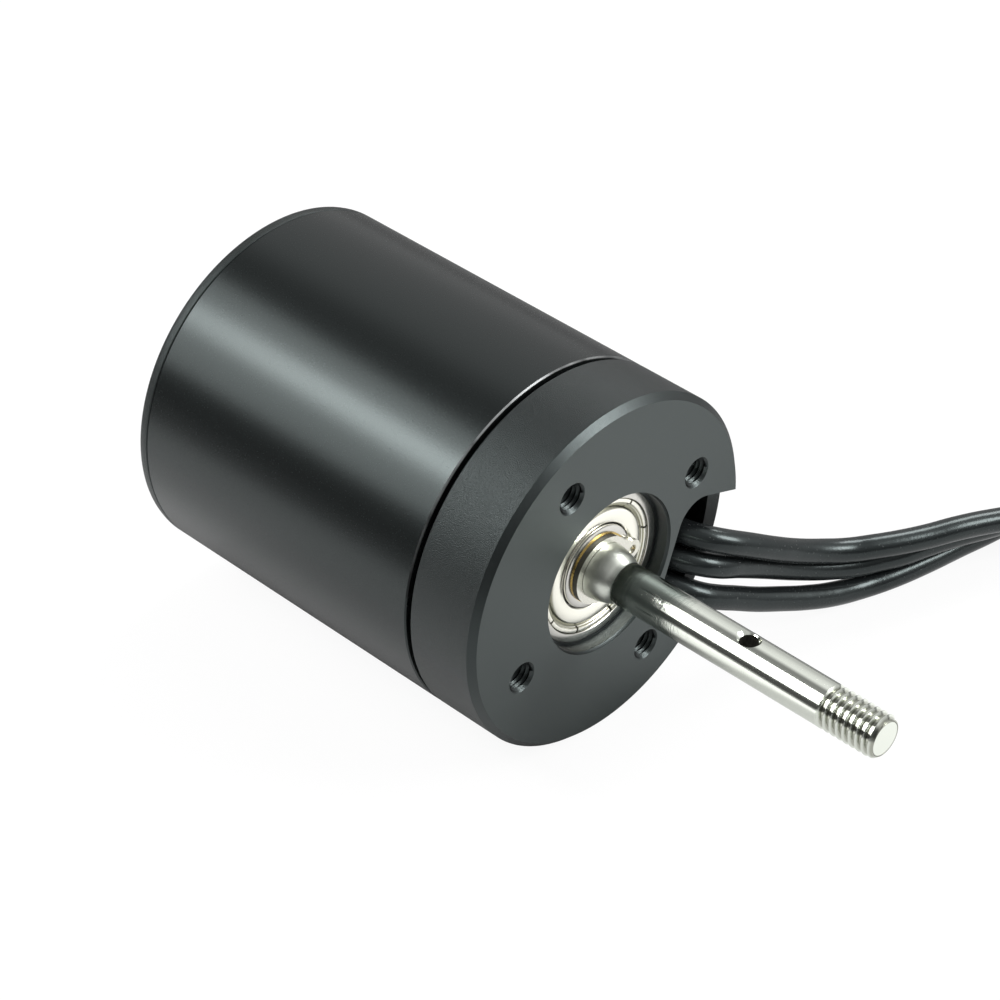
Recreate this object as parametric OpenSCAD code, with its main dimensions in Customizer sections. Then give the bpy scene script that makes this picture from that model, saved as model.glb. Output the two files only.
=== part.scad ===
// Brushless motor with a closed turning can and a threaded output shaft.
// The shaft lies along +X and leaves the fixed front cap, whose mounting face is at x = 0.
// The motor lies on its side, so +Z is up and the can touches the table at z = -body_d / 2.

/* [Body] */
// Outer diameter of the front cap, the can and the rear bell
body_d = 51; // [49:0.5:60]
// Length from the mounting face to the back of the rear bell
body_length = 63; // [62:0.5:90]
// Thickness of the fixed front cap
cap_t = 10.8; // [10.5:0.1:14]
// Running gap between the fixed cap and the turning can
can_gap = 1.2; // [0.8:0.1:1.8]
// Chamfer round the mounting face
face_chamfer = 0.9; // [0.3:0.1:1.5]

/* [Mounting holes] */
// Bolt circle of the mounting holes
mount_pcd = 36; // [33:0.5:38]
// Number of mounting holes
mount_count = 4; // [2:2:4]
// Thread size of the mounting holes
mount_hole_d = 4; // [3:0.5:4]
// Depth of the mounting holes
mount_hole_depth = 8; // [5:0.5:9]
// Widening of each hole at the face
mount_countersink = 0.25; // [0:0.05:0.4]

/* [Lead slot] */
// Width of the slot that the leads come out of
slot_w = 17.7; // [15:0.1:18]
// Depth of the slot's outer ledge below the mounting face
slot_ledge_depth = 3.3; // [2.5:0.1:4]
// Width of the rim that the ledge leaves standing
slot_rim_w = 2.6; // [2:0.1:3.5]
// Wall between the slot and the bearing seat
slot_wall = 1.6; // [1:0.1:2]
// Radius of the slot's two inner corners
slot_corner_r = 4; // [2:0.5:6]
// Direction of the slot about the shaft, from +Y towards +Z
slot_angle = -20.5; // [-25:0.5:-15]

/* [Front bearing] */
// Bore of the front bearing
front_bore = 8; // [8:1:8]
// Outer diameter of the front bearing
front_od = 22; // [22:1:23]
// Width of the front bearing
front_w = 7; // [6:0.5:7]
// Depth of the front bearing below the mounting face
front_depth = 2.2; // [1.5:0.1:2.4]
// Widening of the bore in front of the bearing
front_relief = 0.65; // [0.3:0.05:0.9]

/* [Rear bearing] */
// Outer diameter of the rear bearing
rear_od = 16; // [15.5:0.5:17]
// Width of the rear bearing
rear_w = 5; // [4.5:0.5:6]
// Wall of the stator tube round the rear bearing
tube_wall = 2; // [1.5:0.1:2.5]
// Step of the tube's bore that the rear bearing rests on
tube_step = 1.5; // [1:0.1:2]

/* [Shaft] */
// Diameter of the shaft inside the motor
shaft_d = 8; // [7:0.5:8]
// Diameter of the shaft outside the motor
output_d = 6; // [4:0.5:6.5]
// Length of the shaft in front of the mounting face
output_length = 45.3; // [35:0.1:70]
// Length of the threaded end
thread_length = 8.4; // [5:0.1:15]
// Diameter of the cross pin hole
pin_hole_d = 2.5; // [1.5:0.1:3]
// Distance of the cross pin hole from the mounting face
pin_hole_x = 23.4; // [12:0.1:28]

/* [Stator] */
// Room behind the stator plates, for the coils' ends and the rear bell
stack_rear_room = 14; // [13:0.5:24]
// Width of a stator tooth
tooth_w = 3.2; // [2.5:0.1:3.6]
// Opening between two tooth tips
slot_opening = 1.8; // [1.2:0.1:2.4]
// Height of the coils above the plates
coil_end = 3.6; // [2.5:0.1:4]
// Thickness of the insulating end plates
insulator_t = 0.8; // [0.5:0.1:1.2]

/* [Rotor] */
// Wall of the can
can_wall = 2.2; // [1.8:0.1:2.6]
// Radial thickness of the magnets
magnet_t = 2.5; // [2:0.1:3]
// Reach of the magnets past each end of the stator plates
magnet_reach = 5; // [1:0.5:6]
// Arc of one magnet, in degrees
magnet_arc = 22; // [16:1:24]
// Gap between the magnets and the stator
air_gap = 0.5; // [0.4:0.1:0.8]
// Thickness of the rim of the rear bell
bell_rim_t = 1.6; // [1.2:0.1:2.4]
// Rounding of the edge of the rear bell
bell_edge_r = 1; // [0.5:0.1:1.2]
// Thickness of the rear bell's plate
bell_plate_t = 4.6; // [4:0.1:6]

/* [Leads] */
// Diameter of a lead
lead_d = 3.5; // [3:0.1:3.6]
// Diameter of the connector's pin
bullet_d = 3.5; // [3:0.1:4]
// Length of the connector's pin
bullet_length = 9.5; // [8:0.5:12]
// Length of the shrink sleeve on the connector
sleeve_length = 13; // [10:0.5:18]
// Wall of the shrink sleeve
sleeve_wall = 0.5; // [0.3:0.1:0.6]

/* [Hidden] */
$fn = 96;

// Numbers of teeth and magnets
tooth_count = 12;
magnet_count = 14;

// The tube that carries the plates is made to the rear bearing
tube_d = rear_od + 2 * tube_wall;
tube_bore = rear_od - 2 * tube_step;

// Overrun of every cut, and the clearance of parts that are pressed or clamped together
over = 1;
fit = 0.01;

// Places along the shaft
can_front_x = -cap_t - can_gap;
can_rear_x = -body_length + bell_rim_t;
body_r = body_d / 2;
can_bore_r = body_r - can_wall;
can_lip = 0.5;

// The cap behind its face: a lip inside the can, and a boss that holds the stator tube
cap_back_chamfer = 0.3;
lip_clearance = 0.7;
lip_w = 1.8;
lip_length = 2.4;
boss_wall = 2;
boss_length = 5.2;
seat_lip_t = 1.4;
seat_lip_w = 2.5;
lip_r = can_bore_r - lip_clearance;
boss_r = tube_d / 2 + boss_wall;
seat_back_x = -front_depth - front_w;
tube_front_x = seat_back_x - seat_lip_t;

// Slot and window
slot_inner_r = front_od / 2 + slot_wall;
window_r = body_r - slot_rim_w;

// The mounting holes stand at 45 degrees to the slot
mount_angle = slot_angle + 45;

// Bearing proportions, shared by both bearings: each is a share of the ring's own section
land_share = 0.29;
inner_land_share = 0.29;
ball_share = 0.567;
race_gap = 0.03;
cage_gap = 0.05;
ring_chamfer = 0.3;
shield_t = 0.3;
shield_sink = 0.15;
shield_dish = 0.45;
shield_gap = 0.2;
shield_lip_share = 0.115;
shield_step_share = 0.16;
shield_notches = 9;
shield_notch_w = 0.35;
shield_angle = 8;
cage_t = 0.8;
cage_wall = 0.3;
cage_finger_share = 0.6;
front_balls_n = 7;
rear_balls_n = 9;

// Rear bearing: it sits flush in the end of the stator tube
stack_setback = 7;
tube_overhang = 3;
stack_front_x = can_front_x - stack_setback;
stack_rear_x = -body_length + stack_rear_room;
tube_rear_x = stack_rear_x - tube_overhang;
rear_bore = shaft_d;
stack_r = can_bore_r - magnet_t - air_gap;
magnet_length = stack_front_x - stack_rear_x + 2 * magnet_reach;

// Radii of a plate's hub and tooth tips: shares of the room between the tube and the air gap
hub_share = 0.291;
tip_share = 0.107;
stack_hub_r = tube_d / 2 + (stack_r - tube_d / 2) * hub_share;
tooth_tip = (stack_r - tube_d / 2) * tip_share;

// Retaining ring and shim in front of the front bearing
shim_t = 0.2;
shim_w = 1.6;
clip_t = 0.8;
clip_w = 1.25;
clip_offset = 0.2;
clip_groove = 0.2;
clip_play = 0.05;
clip_lug_r = 1.4;
clip_lug_reach = 1.75;
clip_lug_angle = 24;
clip_lug_hole_d = 1.3;
clip_mouth_angle = 11;
clip_angle = -21;
shim_front_x = -front_depth + shim_t;
clip_front_x = shim_front_x + clip_t;
groove_r = shaft_d / 2 - clip_groove;

// Shoulder of the shaft, from the inner diameter to the output diameter
cone_start_x = 0.3;
cone_length = 1.6;
cone_step = 0.3;
neck_length = 0.7;
shaft_chamfer = 0.5;
thread_relief = 0.2;
thread_chamfer = 0.6;
output_r = output_d / 2;

// Rear bell and the screw that holds it on the shaft
spigot_length = 3;
spigot_wall = 2.3;
hub_r = 9;
hub_nose_length = 1.2;
shaft_web = 0.5;
head_d = 7;
head_h = 1.9;
head_clearance = 0.5;
screw_d = 4;
screw_core_share = 0.82;
screw_length = 9;
screw_clearance = 0.1;
hex_d = 2.9;
hex_depth = 1.2;
bell_inner_x = -body_length + bell_plate_t;
shaft_rear_x = -body_length + head_h + shaft_web;

// Coils
coil_tooth_gap = 0.15;
coil_root_gap = 0.4;
coil_tip_gap = 0.3;
coil_half_angle = 14.2;
coil_corner_r = 1.5;
insulator_step = 0.4;

// Leads: the grommet that they come out of, and where the first lead leaves it
grommet_t = 4.2;
grommet_gap = 0.15;
grommet_rise = 1.4;
grommet_front_x = -cap_t + grommet_rise;
collar_t = 0.4;
collar_w = 0.5;
splice_d = 2;
splice_settling_share = 0.25;
lead_sides = 8;

// Routes of the three leads: out of the slot, over its ledge and along the table
lead_a_route = [
    [-9, 17, -4.5], [-8, 17, -4.5], [-5.9, 17.1, -4.6], [-3.4, 17.8, -4.8], [-1, 19.3, -5.4],
    [0.9, 21.7, -6.5], [2.3, 25.3, -8.4], [3.3, 29.5, -10.9], [4.1, 33.8, -13.3], [5.2, 37.8, -15],
    [6.8, 41.4, -16], [8.8, 44.8, -16.2], [10.6, 48.2, -16.4], [12.4, 52.2, -16.6],
    [14.2, 56.4, -16.6], [16.2, 61.2, -17], [19, 67.2, -17.8], [22.4, 74.2, -19.2],
    [25.8, 82.2, -20.8], [28.6, 91.2, -22.2], [30.6, 100.6, -23.2], [31.5, 110, -23.7],
    [31.5, 119, -23.5], [31.5, 126, -23], [31.5, 130, -22.8], [31.5, 134, -22.8]];
lead_b_route = [
    [-9, 15.5, -8], [-8, 15.5, -8], [-5.6, 15.6, -8.1], [-3, 16.5, -8.4], [-0.9, 18.2, -9.1],
    [0.6, 20.8, -10.3], [1.2, 24.9, -12.3], [1.8, 29.7, -14.9], [3, 34.7, -17.4],
    [4.8, 39.6, -19.2], [6.6, 43.6, -20], [8.2, 46.8, -20], [9.6, 49.8, -20], [11, 53.6, -19.8],
    [12.6, 58.2, -19.8], [14.6, 64, -20.2], [16.2, 71, -21.2], [17.6, 79, -22.2], [18.8, 87.6, -23],
    [20, 96.6, -23.4], [21, 105.2, -23.7], [21.5, 113, -23.7], [21.5, 120, -23.5], [21.5, 126, -23],
    [21.5, 130, -22.8], [21.5, 134, -22.8]];
lead_c_route = [
    [-9, 14, -11.5], [-8, 14, -11.5], [-5.8, 14.1, -11.6], [-3.5, 14.7, -11.9], [-1.3, 16, -12.6],
    [0.3, 17.8, -13.7], [1.3, 20.2, -15], [2.1, 23.2, -16.5], [3, 26.6, -18.2], [4, 30.4, -19.8],
    [5.2, 34.6, -21.4], [6.4, 39.2, -22.8], [7.6, 44.2, -23.7], [9.2, 49, -23.7],
    [10.6, 54.2, -23.5], [11.8, 60.4, -23.4], [13, 68, -23.6], [13.6, 77, -23.7],
    [13.4, 86.8, -23.5], [12.8, 96.6, -23.3], [12, 105.8, -23.5], [11.5, 114, -23.7],
    [11.5, 121, -23.5], [11.5, 126, -23], [11.5, 130, -22.8], [11.5, 134, -22.8]];

// The leads' lowest points rest on the table. When the body's size changes, their first points stay
// in the middle of the slot's window, and the rest move out to its side and down to its table.
drawn_routes = [lead_a_route, lead_b_route, lead_c_route];
lead_table_gap = 0.05;
slot_points = 3;
settling_points = 7;
route_low = min([for (route = drawn_routes, p = route) p.z]);
settle = body_r - lead_d / 2 - lead_table_gap + route_low;
lead_routes = [for (route = drawn_routes) [for (i = [0 : len(route) - 1])
    let (share = min(max((i - slot_points) / settling_points, 0), 1))
    route[i] + settle * (1 + share) / 2
        * [0, cos(slot_angle), (1 - share) * sin(slot_angle) - share]]];

// Connectors: a solder cup and a slotted pin, under the shrink sleeve
cup_d = 4.2;
cup_length = 8;
cup_flange = 0.3;
cup_flange_t = 0.8;
sleeve_lap = 4;
bullet_waist = 0.35;
bullet_nose = 0.8;
bullet_slot_w = 0.4;
bullet_root = 1.5;

// Turns a profile about the shaft: a profile's x is the radius, its y is the place along the shaft
module turned() {
    rotate([0, 90, 0]) rotate_extrude() children();
}

// A round bar and a ring on the shaft's line, from x0 to x1
module bar(r, x0, x1) {
    translate([x0, 0, 0]) rotate([0, 90, 0]) cylinder(r = r, h = x1 - x0);
}
module ring(r_out, r_in, x0, x1) {
    turned() translate([r_in, x0]) square([r_out - r_in, x1 - x0]);
}

// Puts a flat outline, drawn with +X outwards and +Y about the shaft, across the shaft from x0 to x1
module plate(x0, x1, angle = 0) {
    translate([x0, 0, 0]) rotate([angle, 0, 0]) rotate([90, 0, 90]) linear_extrude(x1 - x0) children();
}

// The cap's slot: straight sides, a flat inner wall and two round inner corners
module slot_outline(inset = 0) {
    half = slot_w / 2 - inset;
    inner = slot_inner_r + inset;
    corner = slot_corner_r - inset;
    translate([inner + corner, -half]) square([body_r, 2 * half]);
    translate([inner, -half + corner]) square([body_r, 2 * (half - corner)]);
    for (side = [-1, 1]) translate([inner + corner, side * (half - corner)]) circle(r = corner);
}

module window_outline(outer_r, inset = 0) {
    intersection() {
        slot_outline(inset);
        circle(r = outer_r);
    }
}

module front_cap() {
    color("dimgray") difference() {
        turned() polygon([
            [0, 0], [body_r - face_chamfer, 0], [body_r, -face_chamfer],
            [body_r, -cap_t + cap_back_chamfer], [body_r - cap_back_chamfer, -cap_t],
            [lip_r, -cap_t], [lip_r, -cap_t - lip_length], [lip_r - lip_w, -cap_t - lip_length],
            [lip_r - lip_w, -cap_t], [boss_r, -cap_t], [boss_r, -cap_t - boss_length],
            [0, -cap_t - boss_length]]);
        bar(front_od / 2 + front_relief, -front_depth, over);
        bar(front_od / 2, seat_back_x, over);
        bar(front_od / 2 - seat_lip_w, tube_front_x - over, 0);
        bar(tube_d / 2, -cap_t - boss_length - over, tube_front_x);
        plate(-slot_ledge_depth, over, slot_angle) slot_outline();
        plate(-cap_t - lip_length - over, 0, slot_angle) window_outline(window_r);
        for (i = [0 : mount_count - 1]) rotate([mount_angle + i * 360 / mount_count, 0, 0])
            translate([0, mount_pcd / 2, 0]) {
                bar(mount_hole_d / 2, -mount_hole_depth, over);
                turned() polygon([
                    [0, -mount_countersink], [mount_hole_d / 2, -mount_countersink],
                    [mount_hole_d / 2 + mount_countersink, 0],
                    [mount_hole_d / 2 + mount_countersink, over], [0, over]]);
            }
    }
}

module bearing_tube() {
    color("silver") difference() {
        bar(tube_d / 2 - fit, tube_rear_x, tube_front_x);
        bar(tube_bore / 2, tube_rear_x - over, tube_front_x + over);
        bar(rear_od / 2, tube_rear_x - over, tube_rear_x + rear_w);
    }
}

// One stator plate: a hub, and teeth whose tips nearly close the slots
module stack_outline(outer_r) {
    difference() {
        circle(r = outer_r);
        circle(r = tube_d / 2 + fit);
        for (i = [0 : tooth_count - 1]) rotate((i + 0.5) * 360 / tooth_count) {
            intersection() {
                difference() {
                    circle(r = stack_r - tooth_tip);
                    circle(r = stack_hub_r);
                }
                slot_wedge();
            }
            translate([stack_hub_r, -slot_opening / 2]) square([outer_r, slot_opening]);
        }
    }
}

// The room between two teeth: a wedge whose sides run parallel to the teeth
module slot_wedge() {
    pitch = 180 / tooth_count;
    apex = tooth_w / 2 / sin(pitch);
    far = body_r;
    translate([apex, 0]) polygon([[0, 0], [far, -far * tan(pitch)], [far, far * tan(pitch)]]);
}

module stator_core() {
    color("slategray") plate(stack_rear_x, stack_front_x) stack_outline(stack_r);
}

module front_insulator() {
    color("seagreen") plate(stack_front_x, stack_front_x + insulator_t)
        stack_outline(stack_r - insulator_step);
}

module rear_insulator() {
    color("seagreen") plate(stack_rear_x - insulator_t, stack_rear_x)
        stack_outline(stack_r - insulator_step);
}

// A coil round one tooth: a long ring with round corners, its sides cut to the slot's taper and
// its outside to the round of the tooth tips
module coil(i) {
    half_hole = tooth_w / 2 + coil_tooth_gap;
    x0 = stack_rear_x - insulator_t;
    x1 = stack_front_x + insulator_t;
    y0 = stack_hub_r + coil_root_gap;
    y1 = stack_r - tooth_tip - coil_tip_gap;
    half_w = y1 * tan(coil_half_angle);
    color("peru") rotate([i * 360 / tooth_count, 0, 0]) difference() {
        intersection() {
            translate([0, y1, 0]) rotate([90, 0, 0]) linear_extrude(y1 - y0)
                rounded_outline(x0 - coil_end, x1 + coil_end, half_w, coil_corner_r);
            plate(x0 - coil_end - over, x1 + coil_end + over) intersection() {
                circle(r = y1);
                polygon([[0, 0], [body_r, -body_r * tan(coil_half_angle)],
                    [body_r, body_r * tan(coil_half_angle)]]);
            }
        }
        translate([x0, y0 - over, -half_hole]) cube([x1 - x0, y1 - y0 + 2 * over, 2 * half_hole]);
    }
}

module rounded_outline(x0, x1, half_w, r) {
    translate([x0 + r, -half_w]) square([x1 - x0 - 2 * r, 2 * half_w]);
    translate([x0, -half_w + r]) square([x1 - x0, 2 * (half_w - r)]);
    for (x = [x0 + r, x1 - r], z = [-half_w + r, half_w - r]) translate([x, z]) circle(r = r);
}

// The grommet fills the window behind the leads; each lead leaves it through a raised collar
module lead_grommet() {
    color("black") {
        plate(grommet_front_x - grommet_t, grommet_front_x, slot_angle)
            window_outline(lip_r, grommet_gap);
        for (route = lead_routes) translate([0, route[0].y, route[0].z])
            bar(lead_d / 2 + collar_w, grommet_front_x - collar_t, route[0].x);
    }
}

// The splices join the leads to the coils' ends, and move with the coils when the body's size changes
module phase_splices() {
    further = settle * splice_settling_share * [0, cos(slot_angle), sin(slot_angle)];
    color("peru") for (route = lead_routes) translate([0, route[0].y, route[0].z] + further)
        bar(splice_d / 2, stack_front_x + insulator_t + coil_end, grommet_front_x - grommet_t);
}

// A bearing's sizes, worked out from its bore, outer diameter and width
function section(bore, od) = (od - bore) / 2;
function pitch_r(bore, od) = (od + bore) / 4;
function ball_r(bore, od) = section(bore, od) * ball_share / 2;
function outer_land_r(bore, od) = od / 2 - section(bore, od) * land_share;
function inner_land_r(bore, od) = bore / 2 + section(bore, od) * inner_land_share;

// Outer ring with its raceway and the two recesses that the shields snap into
module outer_ring(bore, od, w, x0) {
    recess = shield_sink + shield_dish + shield_t;
    land = outer_land_r(bore, od);
    seat = od / 2 - section(bore, od) * (land_share - shield_lip_share);
    color("gainsboro") turned() translate([0, x0]) difference() {
        polygon([
            [land, recess], [seat, recess], [seat, 0], [od / 2 - ring_chamfer, 0],
            [od / 2, ring_chamfer], [od / 2, w - ring_chamfer], [od / 2 - ring_chamfer, w],
            [seat, w], [seat, w - recess], [land, w - recess]]);
        translate([pitch_r(bore, od), w / 2]) circle(r = ball_r(bore, od) + race_gap);
    }
}

module inner_ring(bore, od, w, x0) {
    land = inner_land_r(bore, od);
    color("gainsboro") turned() translate([0, x0]) difference() {
        polygon([
            [bore / 2 + fit + ring_chamfer, 0], [land - ring_chamfer, 0], [land, ring_chamfer],
            [land, w - ring_chamfer], [land - ring_chamfer, w], [bore / 2 + fit + ring_chamfer, w],
            [bore / 2 + fit, w - ring_chamfer], [bore / 2 + fit, ring_chamfer]]);
        translate([pitch_r(bore, od), w / 2]) circle(r = ball_r(bore, od) + race_gap);
    }
}

module balls(bore, od, w, x0, count) {
    color("silver") for (i = [0 : count - 1]) rotate([i * 360 / count, 0, 0])
        translate([x0 + w / 2, pitch_r(bore, od), 0]) sphere(r = ball_r(bore, od));
}

// A crown cage: a thin ring behind the balls, with fingers that reach forward between them
module cage(bore, od, w, x0, count) {
    mid = x0 + w / 2;
    back = mid - ball_r(bore, od) - cage_gap - cage_wall;
    front = mid + ball_r(bore, od) * cage_finger_share;
    color("tan") difference() {
        ring(pitch_r(bore, od) + cage_t / 2, pitch_r(bore, od) - cage_t / 2, back, front);
        for (i = [0 : count - 1]) rotate([i * 360 / count, 0, 0])
            translate([0, pitch_r(bore, od), 0])
                bar(ball_r(bore, od) + cage_gap, back + cage_wall, front + over);
    }
}

// A shield: a flat ring, a dished step, and a lip that notches divide into springs.
// Its face is at x0 and its lip seats in the outer ring's recess.
module shield(bore, od, x0, facing_back = 0) {
    s = section(bore, od);
    inner = inner_land_r(bore, od) + shield_gap;
    lip_out = od / 2 - s * (land_share - shield_lip_share) - fit;
    lip_in = lip_out - s * shield_lip_share;
    step = lip_in - s * shield_step_share / 2;
    flat = step - s * shield_step_share / 4;
    deep = -shield_sink - shield_dish;
    color("whitesmoke") translate([x0, 0, 0]) mirror([facing_back, 0, 0]) rotate([shield_angle, 0, 0])
    difference() {
        turned() polygon([
            [inner, -shield_sink], [flat, -shield_sink], [step, deep], [lip_in, deep],
            [lip_in, -shield_sink], [lip_out, -shield_sink], [lip_out, deep - shield_t],
            [step - shield_t, deep - shield_t], [flat - shield_t, -shield_sink - shield_t],
            [inner, -shield_sink - shield_t]]);
        for (i = [0 : shield_notches - 1]) rotate([i * 360 / shield_notches, 0, 0])
            translate([deep, lip_in - shield_notch_w, -shield_notch_w / 2])
                cube([over - deep, lip_out - lip_in + over, shield_notch_w]);
    }
}

module front_outer_ring() { outer_ring(front_bore, front_od, front_w, seat_back_x); }
module front_inner_ring() { inner_ring(front_bore, front_od, front_w, seat_back_x); }
module front_balls() { balls(front_bore, front_od, front_w, seat_back_x, front_balls_n); }
module front_cage() { cage(front_bore, front_od, front_w, seat_back_x, front_balls_n); }
module front_shield() { shield(front_bore, front_od, -front_depth); }
module front_inner_shield() { shield(front_bore, front_od, seat_back_x, 1); }
module rear_outer_ring() { outer_ring(rear_bore, rear_od, rear_w, tube_rear_x); }
module rear_inner_ring() { inner_ring(rear_bore, rear_od, rear_w, tube_rear_x); }
module rear_balls() { balls(rear_bore, rear_od, rear_w, tube_rear_x, rear_balls_n); }
module rear_cage() { cage(rear_bore, rear_od, rear_w, tube_rear_x, rear_balls_n); }
module rear_shields() {
    shield(rear_bore, rear_od, tube_rear_x + rear_w);
    shield(rear_bore, rear_od, tube_rear_x, 1);
}

module front_shim() {
    color("goldenrod") ring(shaft_d / 2 + shim_w, shaft_d / 2 + fit, -front_depth, shim_front_x);
}

// Retaining ring: an eccentric ring, open between two lugs that each have a hole for pliers
module retaining_ring() {
    inner = groove_r + fit;
    color("ivory") plate(shim_front_x, clip_front_x, clip_angle) difference() {
        union() {
            translate([-clip_offset, 0]) circle(r = inner + clip_w);
            for (side = [-1, 1]) rotate(side * clip_lug_angle) {
                translate([inner + clip_lug_reach, 0]) circle(r = clip_lug_r);
                translate([0, -clip_lug_r]) square([inner + clip_lug_reach, 2 * clip_lug_r]);
            }
        }
        circle(r = inner);
        polygon([[0, 0], [body_r, -body_r * tan(clip_mouth_angle)],
            [body_r, body_r * tan(clip_mouth_angle)]]);
        for (side = [-1, 1]) rotate(side * clip_lug_angle)
            translate([inner + clip_lug_reach, 0]) circle(d = clip_lug_hole_d);
    }
}

// The shaft: full size inside, a groove for the retaining ring, a shoulder, and the output end
module shaft() {
    shaft_r = shaft_d / 2;
    cone_r = output_r + cone_step;
    cone_end_x = cone_start_x + cone_length;
    thread_x = output_length - thread_length;
    thread_r = output_r - thread_relief;
    color("silver") difference() {
        turned() polygon([
            [0, shaft_rear_x], [shaft_r - shaft_chamfer, shaft_rear_x],
            [shaft_r, shaft_rear_x + shaft_chamfer], [shaft_r, shim_front_x - clip_play],
            [groove_r, shim_front_x - clip_play], [groove_r, clip_front_x + clip_play],
            [shaft_r, clip_front_x + clip_play], [shaft_r, cone_start_x], [cone_r, cone_end_x],
            [output_r, cone_end_x + cone_step], [output_r, thread_x], [thread_r, thread_x + thread_relief],
            [thread_r, output_length - thread_chamfer], [thread_r - thread_chamfer, output_length],
            [0, output_length]]);
        translate([pin_hole_x, 0, -output_d]) cylinder(d = pin_hole_d, h = 2 * output_d);
        bar(screw_d / 2 * screw_core_share, shaft_rear_x - over, shaft_rear_x + screw_length);
    }
}

module can() {
    color("black") turned() polygon([
        [can_bore_r, can_rear_x], [body_r, can_rear_x], [body_r, can_front_x - can_lip],
        [body_r - can_lip, can_front_x], [can_bore_r, can_front_x]]);
}

// The rear bell closes the can; its hub carries the shaft
module rear_bell() {
    spigot_r = can_bore_r - fit;
    spigot_x = can_rear_x + spigot_length;
    hub_x = tube_rear_x;
    hub_nose_r = inner_land_r(rear_bore, rear_od) - ring_chamfer;
    color("dimgray") difference() {
        turned() {
            translate([0, -body_length + bell_edge_r]) square([body_r, bell_rim_t - bell_edge_r]);
            translate([0, -body_length]) square([body_r - bell_edge_r, bell_rim_t]);
            intersection() {
                translate([body_r - bell_edge_r, -body_length + bell_edge_r]) circle(r = bell_edge_r);
                translate([0, -body_length]) square([body_r, bell_rim_t]);
            }
            polygon([
                [0, -body_length + bell_edge_r], [spigot_r, -body_length + bell_edge_r], [spigot_r, spigot_x],
                [spigot_r - spigot_wall, spigot_x], [spigot_r - spigot_wall, bell_inner_x],
                [hub_r, bell_inner_x], [hub_r, hub_x - hub_nose_length],
                [hub_nose_r, hub_x - hub_nose_length], [hub_nose_r, hub_x], [0, hub_x]]);
        }
        bar(shaft_d / 2 + fit, shaft_rear_x, hub_x + over);
        bar(screw_d / 2 + screw_clearance, -body_length, shaft_rear_x + over);
        bar(head_d / 2 + head_clearance, -body_length - over, -body_length + head_h);
    }
}

module bell_screw() {
    seat_x = -body_length + head_h;
    color("dimgray") difference() {
        union() {
            bar(head_d / 2, -body_length, seat_x);
            bar(screw_d / 2 * screw_core_share - fit, seat_x, shaft_rear_x + screw_length - over);
        }
        translate([-body_length - over, 0, 0]) rotate([0, 90, 0])
            cylinder(d = hex_d, h = over + hex_depth, $fn = 6);
    }
}

module magnet(i) {
    step = 360 / magnet_count;
    x0 = (stack_front_x + stack_rear_x - magnet_length) / 2;
    outer = can_bore_r - fit;
    color("lightgray") rotate([i * step - magnet_arc / 2, 0, 0]) rotate([90, 0, 90])
        translate([0, 0, x0]) rotate_extrude(angle = magnet_arc)
            translate([outer - magnet_t, 0]) square([magnet_t, magnet_length]);
}

// A tube swept along a route: a ring of points at each place, square to the way through it
function unit(v) = v / norm(v);
function heading(p, i) = unit(p[min(i + 1, len(p) - 1)] - p[max(i - 1, 0)]);
function carried(n, t) = unit(n - (n * t) * t);
function normals(p, i = 0, n = [0, 0, 1]) = i == len(p) ? [] :
    let (m = carried(n, heading(p, i))) concat([m], normals(p, i + 1, m));

module swept_tube(p, r, sides) {
    n = normals(p);
    rings = [for (i = [0 : len(p) - 1]) let (t = heading(p, i), b = cross(t, n[i]))
        for (k = [0 : sides - 1]) p[i] + r * (cos(k * 360 / sides) * n[i] + sin(k * 360 / sides) * b)];
    last = (len(p) - 1) * sides;
    walls = [for (i = [0 : len(p) - 2], k = [0 : sides - 1])
        let (a = i * sides + k, b = i * sides + (k + 1) % sides)
        for (f = [[a, a + sides, b], [b, a + sides, b + sides]]) f];
    ends = [
        [for (k = [0 : sides - 1]) k],
        [for (k = [sides - 1 : -1 : 0]) last + k]];
    polyhedron(points = rings, faces = concat(walls, ends), convexity = 10);
}

module lead(i) {
    color("black") swept_tube(lead_routes[i], lead_d / 2, lead_sides);
}

// Puts a piece drawn along +X at the end of a lead, pointing along +Y
module at_lead_end(i) {
    end = lead_routes[i][len(lead_routes[i]) - 1];
    translate(end) rotate([0, 0, 90]) children();
}

// A connector: a solder cup with a flange, and a sprung pin with four slots
module bullet(i) {
    pin_x = cup_length;
    r = bullet_d / 2;
    end_x = pin_x + bullet_length;
    color("gold") at_lead_end(i) difference() {
        turned() polygon([
            [0, 0], [cup_d / 2, 0], [cup_d / 2, cup_length - cup_flange_t],
            [cup_d / 2 + cup_flange, cup_length - cup_flange_t], [cup_d / 2 + cup_flange, cup_length],
            [r - bullet_waist, cup_length], [r - bullet_waist, pin_x + bullet_root],
            [r, pin_x + 2 * bullet_root], [r, end_x - 2 * bullet_nose],
            [r - bullet_nose, end_x], [0, end_x]]);
        for (turn = [0, 90]) rotate([turn, 0, 0])
            translate([pin_x + bullet_root, -bullet_slot_w / 2, -r - over])
                cube([bullet_length - 2 * bullet_root, bullet_slot_w, 2 * (r + over)]);
    }
}

module sleeve(i) {
    inner = cup_d / 2 + fit;
    outer = cup_d / 2 + sleeve_wall;
    color("black") at_lead_end(i) turned() polygon([
        [lead_d / 2 + fit, -sleeve_lap], [outer, -sleeve_lap + sleeve_wall],
        [outer, cup_length - cup_flange_t], [inner, cup_length - cup_flange_t],
        [inner, 0], [lead_d / 2 + fit, 0]]);
}

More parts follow.
